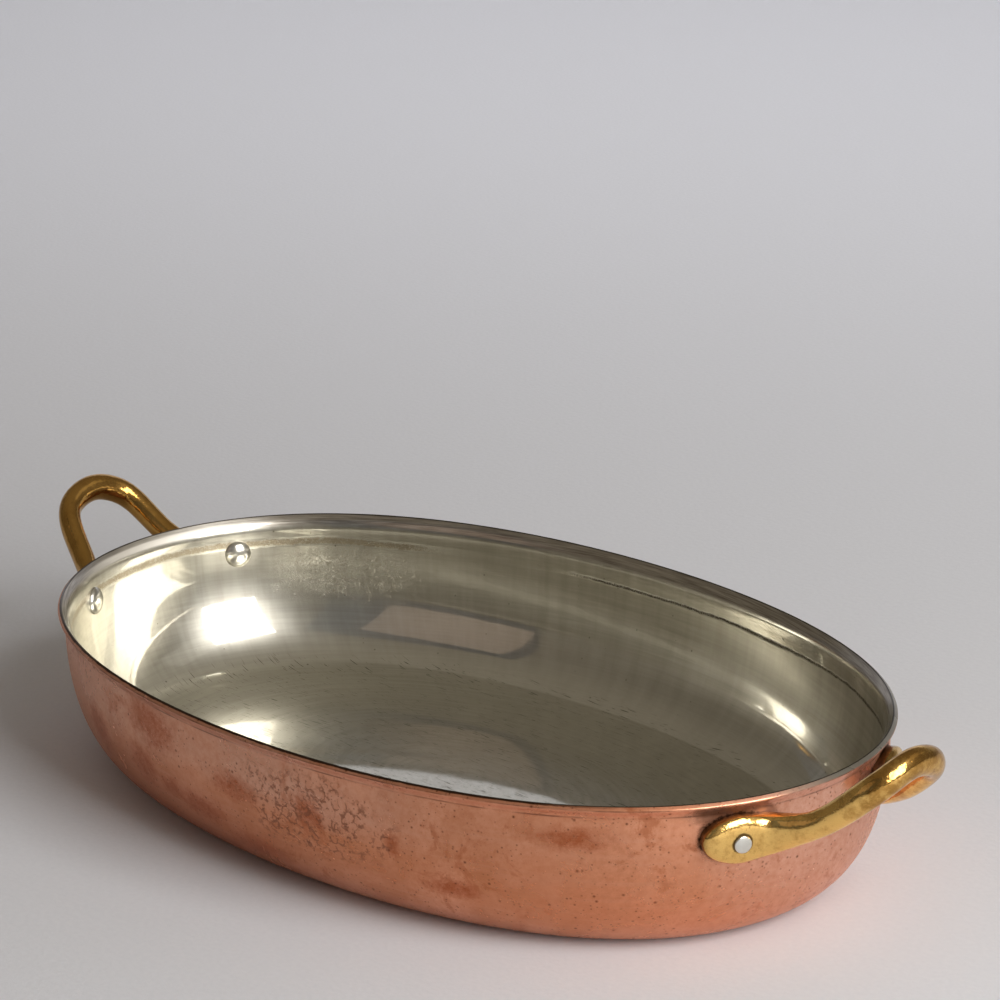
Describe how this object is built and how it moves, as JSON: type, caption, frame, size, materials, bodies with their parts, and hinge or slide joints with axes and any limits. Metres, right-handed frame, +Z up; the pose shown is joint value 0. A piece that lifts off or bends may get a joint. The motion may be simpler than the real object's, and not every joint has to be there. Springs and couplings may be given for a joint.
{
  "type": "gratin pan",
  "caption": "Shallow oval copper gratin pan with a tin-lined inside, a flared lip and a riveted cast brass loop handle at each end.",
  "frame": {"origin": "centre of the whole object's box in plan, on the plane of the flat base", "axes": "+X along the pan from handle to handle, +Y across it, +Z up out of the open top"},
  "size_m": [0.4204, 0.2244, 0.0765],
  "materials": {
    "copper": "satin copper sheet with light patina and fine scratches",
    "tin": "wiped tin, dull mirror",
    "brass": "polished cast brass",
    "tinned_rivet": "tinned, softly polished"
  },
  "bodies": {
    "root": {"copper_pan": "copper", "tin_lining": "tin", "handle_right": "brass", "handle_left": "brass", "rivet_right_front": "tinned_rivet", "rivet_right_back": "tinned_rivet", "rivet_left_front": "tinned_rivet", "rivet_left_back": "tinned_rivet"}
  },
  "joints": []
}
